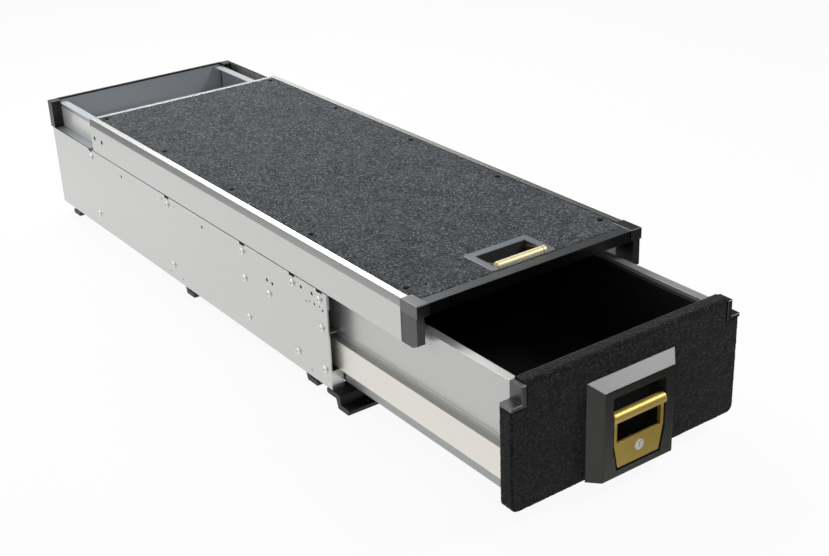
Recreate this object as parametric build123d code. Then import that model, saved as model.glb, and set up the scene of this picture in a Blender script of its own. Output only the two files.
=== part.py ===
from build123d import *
import os

# Sliding floor drawer: a low chassis, a drawer on side slides below, a carpeted floor sliding on top.
# X runs across, Y from the front to the rear, Z up from the surface that the foot rails stand on.
# The origin lies on that surface, in the middle of the four holding-down bolts.
# It is drawn in use: the floor slid forward by floor_out and the drawer by drawer_open.

# Driving sizes of the whole, in millimetres
width = 500.0
panel_length = 1246.0
panel_height = 197.0
foot_height = 30.0
floor_rise = 80.0
floor_overhang = 52.5
floor_out = 228.0
floor_extra = 600.0
drawer_open = 463.0
drawer_extra = 400.0
sheet = 3.0

# Gaps: between stops, between faces that only come near, in running fits, in screw holes
stop_gap = 0.5
touch = 0.3
run_clear = 0.06
hole_gap = 0.2
overrun = 2.0

# Foot rails: Z sections, the front one as wide as the chassis
foot_skin = 11.0
foot_flange = 42.0
foot_slant = 5.0
foot_depth = 72.0
foot_round = 3.0
foot_set_in = 15.0
front_foot_back = 20.0
rear_foot_margin = 16.0
bolt_in = 50.0
bolt_hole_r = 4.5
mid_foot_shares = (0.1204, 0.5217)

# Heights and depths that several pieces share
rear_cap_depth = 24.0
rear_cap_behind = 10.0
rail_rise = 58.0
rail_wall_in = 24.0
rim_rise = 66.0
rim_strip = 2.0
rim_clear = 2.0
face_thick = 27.0
slide_front = 12.0
slide_rear = 54.0
stop_rear = 27.0
stop_length = 10.0
slide_low = 30.0
slide_high = 112.0
catch_back = 69.0
catch_drop = 30.5

# Places worked out from them
half = width / 2
bolt_reach = (foot_flange + foot_slant + foot_depth) / 2
bolt_front_out = bolt_reach - front_foot_back
bolt_rear_in = foot_depth + rear_foot_margin - bolt_reach
front = (bolt_front_out + bolt_rear_in - panel_length) / 2
rear = front + panel_length
base = foot_height
ledge = base + panel_height
floor_top = ledge + floor_rise
rail_top = ledge + rail_rise
rim_top = ledge + rim_rise
rear_cap_front = rear + rear_cap_behind - rear_cap_depth
floor_rear = rear_cap_front - stop_gap - floor_out
floor_front = front - floor_overhang - floor_out
face = floor_front + floor_out - drawer_open
box_front = face + face_thick
slide_start = front + slide_front
slide_end = rear - slide_rear
closed_stop = slide_end - stop_rear - stop_length
box_rear = closed_stop - stop_gap - drawer_open
catch_y = floor_front + catch_back
catch_z = floor_top - catch_drop


# Helpers

def out(depth):
    # X of the plane that lies this far inside the left outer face
    return depth - half


def up(height):
    # Z of a height above the side panels' lower edge
    return base + height


def block(x, y, z):
    # box between a pair of limits along each axis
    box = Box(x[1] - x[0], y[1] - y[0], z[1] - z[0])
    return Pos((x[0] + x[1]) / 2, (y[0] + y[1]) / 2, (z[0] + z[1]) / 2) * box


def rod_x(x, y, z, radius):
    return Pos((x[0] + x[1]) / 2, y, z) * Rot(0, 90, 0) * Cylinder(radius, x[1] - x[0])


def rod_y(x, y, z, radius):
    return Pos(x, (y[0] + y[1]) / 2, z) * Rot(90, 0, 0) * Cylinder(radius, y[1] - y[0])


def rod_z(x, y, z, radius):
    return Pos(x, y, (z[0] + z[1]) / 2) * Cylinder(radius, z[1] - z[0])


def along_x(outline, x):
    # bar of a Y-Z outline between two limits along X
    rim = Polyline(*[(x[0], py, pz) for py, pz in outline], close=True)
    return extrude(make_face(rim), amount=x[1] - x[0], dir=(1, 0, 0))


def along_y(outline, y):
    # bar of an X-Z outline between two limits along Y
    rim = Polyline(*[(px, y[0], pz) for px, pz in outline], close=True)
    return extrude(make_face(rim), amount=y[1] - y[0], dir=(0, 1, 0))


def along_z(outline, z):
    # bar of an X-Y outline between two limits along Z
    rim = Polyline(*[(px, py, z[0]) for px, py in outline], close=True)
    return extrude(make_face(rim), amount=z[1] - z[0], dir=(0, 0, 1))


def across(x):
    # the limits of a width that is symmetrical about the middle, from its left one
    return (x, -x)


def round_off(piece, axis, radius, keep):
    # rounds the straight edges along an axis whose middle point passes keep
    edges = [edge for edge in piece.edges().filter_by(axis) if keep(edge.center())]
    return fillet(edges, radius)


def mirrored(piece):
    return mirror(piece, about=Plane.YZ)


def both(pieces):
    # a group of left-hand solids with their right-hand twins
    return Compound(pieces + [mirrored(piece) for piece in pieces])


def save(name, piece):
    export_step(piece, os.path.join("parts", name + ".step"))


def pair(name, piece):
    save(name + "_left", piece)
    save(name + "_right", mirrored(piece))


# Foot rails and the bolts that hold the side panels on them

panel_bolt_r = 3.0
panel_bolt_head_r = 5.0
panel_bolt_head = 4.0
panel_bolt_in = 14.0
panel_bolt_back = 8.0
panel_bolt_depth = 8.0

rear_foot_back = rear - foot_depth - rear_foot_margin
mid_foot_backs = [front + share * panel_length for share in mid_foot_shares]
foot_backs = [front + front_foot_back] + mid_foot_backs + [rear_foot_back]
foot_senses = [-1, -1, -1, 1]
foot_bolt_ys = [back + sense * panel_bolt_back for back, sense in zip(foot_backs, foot_senses)]


def foot_rail(x, back, sense):
    # Z section: the upper flange starts at back and the lip points along sense
    web = foot_flange - foot_skin
    outline = [
        (back, base),
        (back + sense * foot_flange, base),
        (back + sense * (foot_flange + foot_slant), foot_skin),
        (back + sense * foot_depth, foot_skin),
        (back + sense * foot_depth, 0),
        (back + sense * (web + foot_slant), 0),
        (back + sense * web, base - foot_skin),
        (back, base - foot_skin),
    ]
    rail = round_off(along_x(outline, x), Axis.X, foot_round, lambda middle: True)
    for side in (-1, 1):
        bolt_z = (base - panel_bolt_depth - touch, base + overrun)
        bolt_y = back + sense * panel_bolt_back
        rail -= rod_z(side * out(panel_bolt_in), bolt_y, bolt_z, panel_bolt_r + hole_gap)
    return rail


def bolted(rail, back, sense):
    # the holding-down holes in the lip of an outer rail
    for side in (-1, 1):
        through = (-overrun, foot_skin + overrun)
        rail -= rod_z(side * out(bolt_in), back + sense * bolt_reach, through, bolt_hole_r)
    return rail


def make_foot_rails():
    rails = []
    for back, sense in zip(foot_backs, foot_senses):
        inset = 0 if back == foot_backs[0] else foot_set_in
        rails.append(foot_rail(across(out(inset)), back, sense))
    save("front_foot_rail", bolted(rails[0], foot_backs[0], foot_senses[0]))
    save("foot_rails", Compound(rails[1:-1] + [bolted(rails[-1], foot_backs[-1], foot_senses[-1])]))


def foot_bolt(y):
    x = out(panel_bolt_in)
    seat = base + sheet
    shank = rod_z(x, y, (base - panel_bolt_depth, seat), panel_bolt_r)
    return shank + rod_z(x, y, (seat, seat + panel_bolt_head), panel_bolt_head_r)


# Side panels with their rows of screws and holes; shares run from the front edge and the lower edge

panel_lip = 26.0
return_height = 40.0
bend_r = 2.5
screw_r = 3.0
screw_head_r = 7.5
screw_head = 3.8
socket_r = 2.6
socket_depth = 2.0
head_round = 2.5
top_row_drop = 18.0
middle_row_rise = 10.0
low_row_rise = 7.5
top_row_shares = (0.0185, 0.0939, 0.244, 0.5048, 0.821)
middle_row_shares = (0.0177, 0.1685, 0.244)
low_row_shares = (0.016, 0.0915, 0.2416, 0.5072, 0.8178)
notch_length = 20.0
notch_depth = 5.0
eye_hole_r = 3.3
eye_drop = 21.0
eye_pitch = 18.0
eye_side_r = 1.2
eye_shares = (0.3796, 0.6894)
wide_hole_r = 3.6
wide_hole_shares = ((0.069, 0.921), (0.0393, 0.921), (0.1717, 0.759), (0.1557, 0.754))
mid_hole_r = 2.6
mid_hole_shares = ((0.0337, 0.827), (0.0116, 0.81))
small_hole_r = 1.8
small_hole_shares = ((0.057, 0.807), (0.0474, 0.822), (0.0201, 0.832), (0.5249, 0.934), (0.4783, 0.934),
                     (0.5217, 0.0787), (0.4759, 0.0787), (0.0558, 0.0787))
gusset_over = 8.0
gusset_edge = 16.0


def row(shares, z):
    return [(front + share * panel_length, z) for share in shares]


def scattered(shares):
    return [(front + along * panel_length, base + high * panel_height) for along, high in shares]


top_row = row(top_row_shares, ledge - top_row_drop)
middle_row = row(middle_row_shares, up(slide_high + middle_row_rise))
low_row = row(low_row_shares, up(slide_low + low_row_rise))
eyes = row(eye_shares, ledge - eye_drop)
rim_y = (front, rear_cap_front - touch)


def side_holes(places, radius, depth):
    # holes across a left-hand side, from outside it to the given depth
    return [rod_x((out(-overrun), out(depth)), y, z, radius) for y, z in places]


def panel_holes(depth):
    holes = side_holes(top_row + middle_row + low_row, screw_r + hole_gap, depth)
    holes += side_holes(eyes, eye_hole_r, depth)
    holes += side_holes(scattered(wide_hole_shares), wide_hole_r, depth)
    holes += side_holes(scattered(mid_hole_shares), mid_hole_r, depth)
    return holes + side_holes(scattered(small_hole_shares), small_hole_r, depth)


def notches(piece, depth):
    # cuts in a left-hand side's upper edge, over the top row of screws
    for y, z in top_row:
        notch = (y - notch_length / 2, y + notch_length / 2)
        piece -= block((out(-overrun), out(depth)), notch, (ledge - notch_depth, ledge + overrun))
    return piece


def side_panel():
    skin = (out(0), out(sheet))
    lip = (out(0), out(panel_lip))
    panel = block(skin, (front, rear), (base, ledge))
    panel += block(lip, (front, rear), (base, base + sheet))
    panel += block(lip, (front, front + sheet), (base, up(return_height)))
    panel = round_off(panel, Axis.Y, bend_r,
                      lambda middle: middle.X < skin[0] + touch and middle.Z < base + touch)
    through = sheet + overrun
    for hole in panel_holes(through):
        panel -= hole
    for y, z in eyes:
        for side in (-1, 1):
            panel -= rod_x((out(-overrun), out(through)), y + side * eye_pitch, z, eye_side_r)
    for y in foot_bolt_ys:
        panel -= rod_z(out(panel_bolt_in), y, (base - overrun, base + through), panel_bolt_r + hole_gap)
    return panel


def rim_wall():
    # the right-hand panel's rise beside the floor, as its left-hand twin
    return block((out(0), out(sheet)), rim_y, (ledge - sheet, rim_top - rim_strip))


def side_trim():
    return block((out(0), out(sheet)), rim_y, (rim_top - rim_strip, rim_top))


def gusset():
    y = (middle_row[0][0] - gusset_edge, middle_row[-1][0] + gusset_edge)
    z = (up(slide_high), middle_row[0][1] + gusset_over)
    plate = block((out(sheet), out(2 * sheet)), y, z)
    for hole in side_holes(middle_row, screw_r + hole_gap, 2 * sheet + overrun):
        plate -= hole
    return plate


def side_screw(y, z, depth):
    # button head on the panel's outer face, with a shank to the given depth
    head = rod_x((out(-screw_head), out(0)), y, z, screw_head_r)
    head = fillet(head.edges().filter_by(GeomType.CIRCLE).group_by(Axis.X)[0], head_round)
    head -= rod_x((out(-screw_head - overrun), out(socket_depth - screw_head)), y, z, socket_r)
    return head + rod_x((out(0), out(depth)), y, z, screw_r)


def side_screws():
    screws = [side_screw(y, z, 2 * sheet) for y, z in top_row + middle_row]
    return screws + [side_screw(y, z, sheet + outer_web) for y, z in low_row]


# Rear panel, its trim and the corner caps

rear_cap_width = 24.0
rear_cap_round = 3.0
trim_height = 4.0
trim_skin = 1.5
ring_r = 6.0
ring_skin = 1.5
ring_depth = 1.5
ring_drop = 12.0
slot_width = 9.0
slot_depth = 4.0
slot_low_share = 0.2
slot_high_share = 0.62

rim_back = rear + rear_cap_behind - trim_skin


def rear_panel():
    # stepped back at the ledge to the plane of the caps' backs
    x = across(out(rear_cap_width))
    panel = block(across(out(sheet)), (rear - sheet, rear), (base + sheet, ledge))
    panel += block(x, (rear - sheet, rim_back), (ledge - sheet, ledge))
    return panel + block(x, (rim_back - sheet, rim_back), (ledge - sheet, rim_top - rim_strip))


def rear_trim():
    # channel over the rear panel's upper edge
    x = across(out(rear_cap_width))
    trim = block(x, (rim_back - sheet - trim_skin, rim_back + trim_skin), (rim_top - trim_height, rim_top))
    return trim - block(x, (rim_back - sheet, rim_back), (ledge, rim_top - rim_strip))


def rear_cap():
    middle = out(rear_cap_width / 2)
    cap = block((out(0), out(rear_cap_width)), (rear_cap_front, rear + rear_cap_behind), (ledge, rim_top))
    cap = round_off(cap, Axis.X, rear_cap_round, lambda point: point.Z > rim_top - touch)
    ring_z = rim_top - ring_drop
    ring = rod_y(middle, (rear_cap_front - overrun, rear_cap_front + ring_depth), ring_z, ring_r)
    ring -= rod_y(middle, (rear_cap_front - 2 * overrun, rear_cap_front + slot_depth), ring_z,
                  ring_r - ring_skin)
    cap -= ring
    cap -= block((middle - slot_width / 2, middle + slot_width / 2),
                 (rear_cap_front - overrun, rear_cap_front + slot_depth),
                 (ledge + slot_low_share * rim_rise, ledge + slot_high_share * rim_rise))
    return cap


# Upper rails: a leg on the panel, a ledge, a wall and a top flange

rail_flange = 20.0
rail_leg = 32.0
catch_hole_r = 4.6


def upper_rail():
    wall = out(rail_wall_in)
    outline = [
        (out(sheet), ledge - rail_leg),
        (out(2 * sheet), ledge - rail_leg),
        (out(2 * sheet), ledge - sheet),
        (wall + sheet, ledge - sheet),
        (wall + sheet, rail_top - sheet),
        (wall + rail_flange, rail_top - sheet),
        (wall + rail_flange, rail_top),
        (wall, rail_top),
        (wall, ledge),
        (out(sheet), ledge),
    ]
    rail = along_y(outline, (front, rear - sheet))
    for hole in panel_holes(2 * sheet + overrun):
        rail -= hole
    through = (wall - overrun, wall + sheet + overrun)
    rail -= rod_x(through, catch_y + floor_out, catch_z, catch_hole_r)
    return notches(rail, 2 * sheet + notch_depth)


# Floor rollers: the rear ones on carriages on the floor's side rails, the front ones on the upper rails.
# Inset is how far the floor's skirt stands in from the outer face, on the right to clear the rim.

roller_r = 15.5
roller_width = 14.0
roller_in = 7.0
roller_edge = 1.0
axle_r = 4.0
axle_head_r = 6.0
axle_head = 1.0
front_roller_back = 60.0
rib_drop = 30.0
carriage_back = 58.0
carriage_length = 60.0
carriage_low = 6.0
carriage_high = 46.0
carriage_hole_r = 5.0
carriage_hole_shares = (0.17, 0.83)
carriage_hole_drop = 43.0
buffer_length = 14.0
buffer_height = 15.0

right_inset = sheet + rim_clear
rib_low = floor_top - rib_drop - sheet
rear_roller_y = floor_rear - carriage_back + carriage_length / 3
rear_roller_z = ledge + touch + roller_r
front_roller_y = front + front_roller_back
front_roller_z = rib_low - touch - roller_r
carriage_front = rear_roller_y - carriage_length / 2
carriage_rear = carriage_front + carriage_length
carriage_holes = [(carriage_front + share * carriage_length, floor_top - carriage_hole_drop)
                  for share in carriage_hole_shares]


def roller(inset, y, z):
    body = rod_x((out(roller_in + inset), out(roller_in + roller_width)), y, z, roller_r)
    body = chamfer(body.edges().filter_by(GeomType.CIRCLE), roller_edge)
    return body - rod_x((out(0), out(rail_wall_in)), y, z, axle_r + run_clear)


def front_axle(inset):
    start = roller_in + inset - touch
    axle = rod_x((out(start), out(rail_wall_in)), front_roller_y, front_roller_z, axle_r)
    return axle + rod_x((out(start - axle_head), out(start)), front_roller_y, front_roller_z, axle_head_r)


def roller_carriage(inset):
    end = roller_in + roller_width + touch
    seat = inset + sheet
    plate = block((out(seat), out(seat + sheet)), (carriage_front, carriage_rear),
                  (ledge + carriage_low, ledge + carriage_high))
    plate += rod_x((out(seat + sheet), out(end)), rear_roller_y, rear_roller_z, axle_r)
    plate += rod_x((out(end), out(end + axle_head)), rear_roller_y, rear_roller_z, axle_head_r)
    for hole in side_holes(carriage_holes, carriage_hole_r, seat + sheet + overrun):
        plate -= hole
    return plate


def floor_buffer():
    rear_face = rear_roller_y - roller_r - floor_extra - stop_gap
    return block((out(roller_in + right_inset), out(roller_in + roller_width)),
                 (rear_face - buffer_length, rear_face), (ledge, ledge + buffer_height))


# Drawer slides: a fixed C section, two rows of caged balls, and a C section on the drawer

outer_web = 2.5
outer_lip = 3.0
outer_reach = 26.0
inner_face_in = 16.0
inner_skin = 2.5
side_in = 29.0
ball_gap = 9.0
ball_r = 4.2
ball_in = 22.0
ball_clear = 0.15
ball_pitch = 32.0
ball_count = 8
cage_skin = 1.5
cage_width = 11.0
cage_end = 18.0
stop_low = 30.0
stop_high = 50.0
stop_reach = 14.0
stop_lug_in = 9.0

inner_low = slide_low + outer_lip + ball_gap
inner_high = slide_high - outer_lip - ball_gap


def slide_stop(y):
    return block((out(sheet), out(stop_reach)), y, (up(slide_low + stop_low), up(slide_low + stop_high)))


def slide_outer():
    lips = (out(sheet), out(outer_reach))
    y = (slide_start, slide_end)
    member = block((out(sheet), out(sheet + outer_web)), y, (up(slide_low), up(slide_high)))
    member += block(lips, y, (up(slide_low), up(slide_low + outer_lip)))
    member += block(lips, y, (up(slide_high - outer_lip), up(slide_high)))
    open_stop = box_rear - stop_length - drawer_extra - stop_gap
    member += slide_stop((open_stop - stop_length, open_stop))
    member += slide_stop((closed_stop, closed_stop + stop_length))
    for hole in side_holes(low_row, screw_r + hole_gap, sheet + outer_web + overrun):
        member -= hole
    return member


def slide_inner():
    lips = (out(inner_face_in), out(side_in))
    y = (box_front, box_rear)
    member = block((lips[0], out(inner_face_in + inner_skin)), y, (up(inner_low), up(inner_high)))
    member += block(lips, y, (up(inner_low), up(inner_low + inner_skin)))
    member += block(lips, y, (up(inner_high - inner_skin), up(inner_high)))
    return member + block((out(stop_lug_in), out(inner_face_in)), (box_rear - stop_length, box_rear),
                          (up(slide_low + stop_low), up(slide_low + stop_high)))


def ball_cage():
    # one strip below and one above, midway in the overlap that is left when the drawer is right out
    middle = (slide_start + box_rear) / 2
    reach = (ball_count - 1) / 2 * ball_pitch
    solids = []
    for z in (up(slide_low + outer_lip + ball_gap / 2), up(inner_high + ball_gap / 2)):
        strip = block((out(ball_in - cage_width / 2), out(ball_in + cage_width / 2)),
                      (middle - reach - cage_end, middle + reach + cage_end),
                      (z - cage_skin / 2, z + cage_skin / 2))
        for place in range(ball_count):
            y = middle - reach + place * ball_pitch
            strip -= rod_z(out(ball_in), y, (z - cage_skin, z + cage_skin), ball_r + ball_clear)
            solids.append(Pos(out(ball_in), y, z) * Sphere(ball_r))
        solids.append(strip)
    return Compound(solids)


# Drawer box

side_low = 12.0
side_rise = 22.0
side_skin = 2.5
side_flange = 16.5
side_lip = 13.0
seat_height = 23.0
seat_reach = 17.0
groove_low = 108.0
groove_width = 3.0
groove_depth = 1.0
bottom_thick = 12.0
mat_thick = 4.0
liner_thick = 8.2
liner_rise = 15.0
back_rise = 8.0

wall_in = side_in + side_skin
liner_in = side_in + side_flange + touch
mat_top = seat_height + bottom_thick + mat_thick


def drawer_side():
    top = ledge + side_rise
    wall, lip = out(side_in), out(side_in + side_flange)
    outline = [
        (wall, up(side_low)),
        (out(wall_in), up(side_low)),
        (out(wall_in), up(seat_height - side_skin)),
        (wall + seat_reach, up(seat_height - side_skin)),
        (wall + seat_reach, up(seat_height)),
        (out(wall_in), up(seat_height)),
        (out(wall_in), top - side_skin),
        (lip - side_skin, top - side_skin),
        (lip - side_skin, top - side_lip),
        (lip, top - side_lip),
        (lip, top),
        (wall, top),
        (wall, up(groove_low + groove_width)),
        (wall + groove_depth, up(groove_low + groove_width)),
        (wall + groove_depth, up(groove_low)),
        (wall, up(groove_low)),
    ]
    return along_y(outline, (box_front, box_rear))


back_inner = box_rear - side_skin


def drawer_back():
    return block(across(out(wall_in + touch)), (back_inner, box_rear), (up(seat_height), ledge + back_rise))


def drawer_bottom():
    return block(across(out(wall_in + touch)), (box_front, back_inner),
                 (up(seat_height), up(seat_height + bottom_thick)))


def drawer_liner():
    return block((out(liner_in), out(liner_in + liner_thick)), (box_front + touch, back_inner - touch),
                 (up(seat_height + bottom_thick), ledge + liner_rise))


def drawer_mat():
    return block(across(out(liner_in + liner_thick + touch)), (box_front + touch, back_inner - touch),
                 (up(seat_height + bottom_thick), up(mat_top)))


# Drawer front: a board wrapped in carpet, cut away at both ears, with a cap on each ear

face_low = 4.5
face_rise = 34.0
pile = 4.0
ear_width = 20.0
ear_skin = 7.0
post_width = 10.0
post_drop = 3.0
ear_proud = 2.0
ear_edge = 1.2
face_corner_r = 16.0
face_edge_r = 10.0

face_top = ledge + face_rise


def front_body(inset):
    # the drawer front, drawn in by inset on every side but the rear
    bottom, top = up(face_low) + inset, face_top - inset
    body = block(across(out(inset)), (face + inset, box_front), (bottom, top))
    body = round_off(body, Axis.Y, face_corner_r - inset, lambda middle: middle.Z < bottom + touch)
    ear = (out(-overrun), out(ear_width + post_width + inset))
    for x in (ear, (-ear[1], -ear[0])):
        body -= block(x, (face - overrun, box_front + overrun), (ledge - ear_skin - inset, top + overrun))
    return body


def ear_cap():
    outline = [
        (out(0), ledge - ear_skin),
        (out(ear_width + post_width), ledge - ear_skin),
        (out(ear_width + post_width), face_top - post_drop),
        (out(ear_width), face_top - post_drop),
        (out(ear_width), ledge),
        (out(0), ledge),
    ]
    cap = along_y(outline, (face - ear_proud, box_front))
    return chamfer(cap.faces().sort_by(Axis.Y)[0].edges(), ear_edge)


# Handle housing with its finger tub, the lever in it, and the lock in the lever

housing_depth = 22.5
housing_low = 2.0
housing_drop = 46.0
housing_half = 97.5
housing_front_half = 77.0
housing_slope = 18.0
housing_edge = 3.0
window_half = 58.5
window_drop = 14.0
window_knee = 58.0
window_foot_half = 49.0
window_foot = 14.0
window_round = 4.0
tub_back = 17.5
tub_wall = 2.0
lever_sink = 1.0
lever_thick = 5.0
lever_half = 55.0
lever_top = 66.0
lever_foot_half = 46.0
lever_foot = 19.0
lever_round = 3.0
arm_width = 6.0
arm_thick = 8.0
bar_r = 10.0
bar_drop = 40.0
bar_half = 57.5
bar_sink = 5.0
pin_r = 3.0
pin_sink = 13.0
pin_height = 34.0
pin_half = 60.5
lug_in = 38.0
lug_width = 6.0
lug_r = 6.0
tail_left = 12.0
tail_width = 10.0
tail_rear = 25.5
tail_top = 40.0
tail_low = 20.0
toe_low = 15.0
toe_front = 19.0
push_rod_r = 2.5
push_rod_height = 17.1
lock_height = 47.0
lock_ring_r = 10.0
lock_ring_proud = 2.0
lock_body_r = 8.0
lock_back = 24.0
plug_r = 6.5
plug_back = 15.0
plug_proud = 0.8
key_slot_width = 1.6
key_slot_height = 8.0
key_slot_depth = 2.5

housing_front = face - housing_depth
housing_top = face_top - housing_drop
window_top = housing_top - housing_slope - window_drop
bar_z = window_top - bar_drop
bar_y = housing_front + bar_sink
lever_front = housing_front + lever_sink
lever_back = lever_front + lever_thick
pin_y = housing_front + pin_sink
pin_z = up(pin_height)
tub_inner = face + tub_back
tub_outer = tub_inner + tub_wall
rod_x_place = tail_left + tail_width / 2
tail_y = housing_front + tail_rear


def window(grow, y):
    # the finger opening's outline, grown by a wall, as a bar between two limits along Y
    outline = [
        (-window_half - grow, window_top + grow),
        (window_half + grow, window_top + grow),
        (window_half + grow, up(window_knee)),
        (window_foot_half + grow, up(window_foot) - grow),
        (-window_foot_half - grow, up(window_foot) - grow),
        (-window_half - grow, up(window_knee)),
    ]
    bar = along_y(outline, y)
    return fillet(bar.edges().filter_by(Axis.Y), window_round + grow)


def handle_housing():
    low = up(housing_low)
    rims = []
    for y, reach, top in ((face, housing_half, housing_top),
                          (housing_front, housing_front_half, housing_top - housing_slope)):
        corners = [(-reach, y, low), (reach, y, low), (reach, y, top), (-reach, y, top)]
        rims.append(Wire.make_polygon(corners, close=True))
    housing = Solid.make_loft(rims, ruled=True)
    housing = fillet(housing.faces().sort_by(Axis.Y)[0].edges(), housing_edge)
    housing += window(tub_wall, (face, tub_outer))
    housing -= window(0, (housing_front - overrun, tub_inner))
    housing -= rod_x(across(-pin_half), pin_y, pin_z, pin_r + run_clear)
    return housing - rod_y(rod_x_place, (tub_inner - overrun, tub_outer + overrun), up(push_rod_height),
                           push_rod_r + run_clear)


def handle_lever():
    outline = [
        (-lever_half, up(lever_top)),
        (lever_half, up(lever_top)),
        (lever_foot_half, up(lever_foot)),
        (-lever_foot_half, up(lever_foot)),
    ]
    lever = along_y(outline, (lever_front, lever_back))
    lever = fillet(lever.edges().filter_by(Axis.Y), lever_round)
    for side in (-1, 1):
        arm = sorted((side * lever_half, side * (lever_half - arm_width)))
        lever += block(arm, (lever_front, lever_front + arm_thick), (up(lever_top - lever_round), bar_z))
        lug = sorted((side * lug_in, side * (lug_in + lug_width)))
        lever += rod_x(lug, pin_y, pin_z, lug_r)
        lever += block(lug, (lever_back, pin_y), (pin_z - lug_r, pin_z + lug_r))
    bar = rod_x(across(-bar_half), bar_y, bar_z, bar_r)
    lever += chamfer(bar.edges().filter_by(GeomType.CIRCLE), housing_edge / 2)
    tail = (tail_left, tail_left + tail_width)
    lever += block(tail, (lever_back, tail_y), (up(tail_low), up(tail_top)))
    lever += block(tail, (housing_front + toe_front, tail_y), (up(toe_low), up(tail_low)))
    lever -= rod_x(across(-pin_half), pin_y, pin_z, pin_r + run_clear)
    return lever - rod_y(0, (lever_front - overrun, lever_back + overrun), up(lock_height), lock_body_r)


def lever_pin():
    return rod_x(across(-pin_half), pin_y, pin_z, pin_r)


def lock_body():
    body = rod_y(0, (lever_front - lock_ring_proud, lever_front), up(lock_height), lock_ring_r)
    body += rod_y(0, (lever_front, housing_front + lock_back), up(lock_height), lock_body_r)
    plug_hole = (lever_front - lock_ring_proud - overrun, lever_front + plug_back + touch)
    return body - rod_y(0, plug_hole, up(lock_height), plug_r + run_clear)


def lock_plug():
    start = lever_front - lock_ring_proud - plug_proud
    plug = rod_y(0, (start, lever_front + plug_back), up(lock_height), plug_r)
    plug = chamfer(plug.faces().sort_by(Axis.Y)[0].edges(), plug_proud / 2)
    z = up(lock_height)
    key_slot = block((-key_slot_width / 2, key_slot_width / 2), (start - overrun, start + key_slot_depth),
                     (z - key_slot_height / 2, z + key_slot_height / 2))
    return plug - key_slot


def front_with_holes(body):
    # makes room for the finger tub and the push rod
    body -= window(tub_wall + touch, (face - overrun, tub_outer + touch))
    return body - rod_y(rod_x_place, (face, box_front + overrun), up(push_rod_height), push_rod_r + touch)


# Latch under the drawer's bottom, and the striker pin on the front foot rail

latch_thick = 3.0
latch_left = 30.0
latch_right = 46.0
latch_front = 1.0
latch_length = 58.0
disc_low = 9.0
disc_high = 17.0
claw_left = 12.0
claw_back = 38.5
claw_r = 24.0
claw_stud_r = 5.0
throat_half = 5.5
throat_back = 31.5
pawl_right = 36.0
pawl_back = 28.5
pawl_r = 7.0
pawl_stud_r = 4.0
pawl_arm = 23.0
pawl_arm_width = 7.0
stud_head = 1.7
stud_head_grow = 2.0
rod_gap = 1.7
striker_back = 11.0
striker_r = 4.0
striker_height = 17.5

claw_y = box_front + claw_back
pawl_y = box_front + pawl_back
disc_z = (up(disc_low), up(disc_high))


def stud(x, y, radius):
    foot = up(disc_low) - touch
    post = rod_z(x, y, (foot, up(seat_height - latch_thick)), radius)
    return post + rod_z(x, y, (foot - stud_head, foot), radius + stud_head_grow)


def latch_plate():
    y = (box_front + latch_front, box_front + latch_front + latch_length)
    plate = block((-latch_left, latch_right), y, (up(seat_height - latch_thick), up(seat_height)))
    return plate + stud(-claw_left, claw_y, claw_stud_r) + stud(pawl_right, pawl_y, pawl_stud_r)


def latch_claw():
    claw = rod_z(-claw_left, claw_y, disc_z, claw_r)
    claw -= rod_z(-claw_left, claw_y, disc_z, claw_stud_r + run_clear)
    return claw - block((-throat_half, throat_half), (box_front + throat_back, claw_y + claw_r + overrun),
                        (disc_z[0] - overrun, disc_z[1] + overrun))


def latch_pawl():
    pawl = rod_z(pawl_right, pawl_y, disc_z, pawl_r)
    pawl += block((pawl_right - pawl_arm, pawl_right),
                  (pawl_y - pawl_arm_width / 2, pawl_y + pawl_arm_width / 2), disc_z)
    return pawl - rod_z(pawl_right, pawl_y, disc_z, pawl_stud_r + run_clear)


def latch_rod():
    rear_end = pawl_y - pawl_arm_width / 2 - rod_gap
    return rod_y(rod_x_place, (tail_y + stop_gap, rear_end), up(push_rod_height), push_rod_r)


def striker_pin():
    return rod_z(0, front + striker_back, (base, up(striker_height)), striker_r)


# Sliding floor: side rails, front bar, rear trim, corner caps, board, carpet and its screws

skirt_gap = 2.0
band_height = 15.0
band_set_in = 3.0
rim_over = 1.5
edge_flange = 17.0
board_thick = 12.0
carpet_thick = 4.0
seat_width = 45.0
rib_width = 22.0
bar_face = 1.5
bar_height = 21.0
bar_depth = 22.0
bar_seat = 4.0
bar_lip = 10.0
cap_width = 26.0
cap_leg_in = 1.0
cap_leg_width = 16.0
cap_leg_back = 47.0
cap_leg_set_in = 3.0
cap_proud = 1.0
cap_drop = 22.0
cap_corner_length = 14.0
cap_corner_rise = 7.0
cap_edge = 2.0
trim_width = 11.0
floor_screw_r = 2.2
floor_screw_head_r = 5.0
floor_screw_head = 1.4
floor_screw_in = 32.0
floor_screw_start = 74.0
floor_screw_end = 17.7
floor_screw_count = 5

carpet_low = floor_top - carpet_thick
board_low = carpet_low - board_thick
bar_front = floor_front + bar_face
bar_rear = bar_front + bar_depth
rail_front = floor_front + cap_leg_back
trim_front = floor_rear - trim_width
first_screw = floor_front + floor_screw_start
screw_pitch = (trim_front - floor_screw_end - first_screw) / (floor_screw_count - 1)
screw_ys = [first_screw + place * screw_pitch for place in range(floor_screw_count)]


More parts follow.
